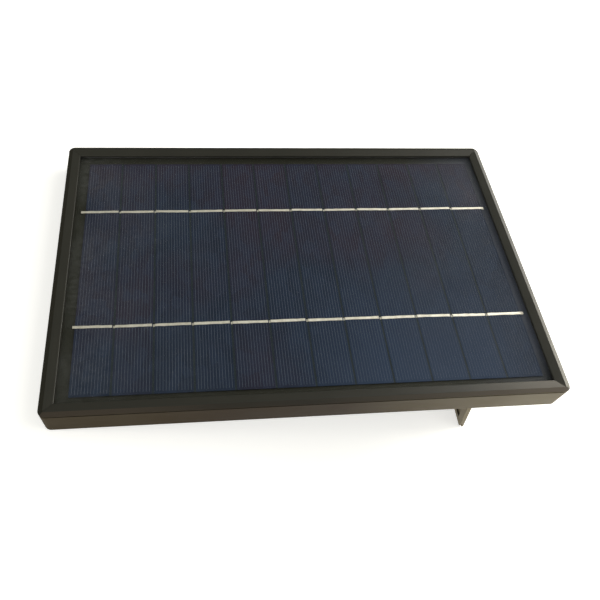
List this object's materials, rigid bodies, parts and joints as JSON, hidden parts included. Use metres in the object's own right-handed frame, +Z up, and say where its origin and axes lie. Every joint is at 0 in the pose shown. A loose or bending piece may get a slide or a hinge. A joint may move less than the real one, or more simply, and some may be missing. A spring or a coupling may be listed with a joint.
{
  "type": "solar panel",
  "caption": "Small framed photovoltaic panel: dark blue cell strips under a clear sheet, black mitred frame, rear junction box and a fold-out support leg that props it at a tilt.",
  "frame": {"origin": "middle of the footprint on the floor that the panel's left edge and the leg's foot stand on", "axes": "+Z up, +X along the panel's long side towards its raised end, +Y along its short side away from the viewer"},
  "size_m": [0.2656, 0.1784, 0.0866],
  "materials": {
    "frame_black": "black anodised, satin",
    "leg_black": "black coated sheet steel, satin",
    "plated_steel": "zinc plated",
    "brass": "plain",
    "clear_sheet": "clear, faintly matte",
    "silicon": "dark blue polycrystalline silicon with silver finger lines",
    "tinned_ribbon": "dull solder",
    "board_black": "black board",
    "seal_rubber": "soft matte",
    "box_plastic": "fine moulded grain",
    "black_nylon": "smooth moulded"
  },
  "bodies": {
    "panel": {"frame_rail_near": "frame_black", "frame_rail_far": "frame_black", "frame_rail_left": "frame_black", "frame_rail_right": "frame_black", "corner_key_1": "plated_steel", "corner_key_2": "plated_steel", "corner_key_3": "plated_steel", "corner_key_4": "plated_steel", "edge_seal": "seal_rubber", "front_sheet": "clear_sheet", "backboard": "board_black", "cell_01": "silicon", "cell_02": "silicon", "cell_03": "silicon", "cell_04": "silicon", "cell_05": "silicon", "cell_06": "silicon", "cell_07": "silicon", "cell_08": "silicon", "cell_09": "silicon", "cell_10": "silicon", "cell_11": "silicon", "cell_12": "silicon", "end_tab_near": "tinned_ribbon", "end_tab_far": "tinned_ribbon", "pivot_screw_near": "plated_steel", "pivot_screw_far": "plated_steel", "pivot_nut_near": "plated_steel", "pivot_nut_far": "plated_steel", "pivot_washer_near": "plated_steel", "pivot_washer_far": "plated_steel", "pivot_bush_near": "black_nylon", "pivot_bush_far": "black_nylon", "stop_pin_near": "plated_steel", "stop_pin_far": "plated_steel", "junction_box": "box_plastic", "junction_box_lid": "box_plastic", "lid_gasket": "seal_rubber", "lid_screw_1": "plated_steel", "lid_screw_2": "plated_steel", "lid_screw_3": "plated_steel", "lid_screw_4": "plated_steel", "cable_gland": "black_nylon", "gland_nut": "black_nylon", "lead_negative": "tinned_ribbon", "lead_positive": "tinned_ribbon", "terminal_negative": "brass", "terminal_positive": "brass", "blocking_diode": "box_plastic"},
    "leg": {"support_leg": "leg_black"}
  },
  "joints": [
    {"name": "leg_fold", "type": "hinge", "parent": "panel", "child": "leg", "pos_m": [0.08732, 0, 0.06398], "axis": [0, 1, 0], "range_deg": [0, 102]}
  ]
}
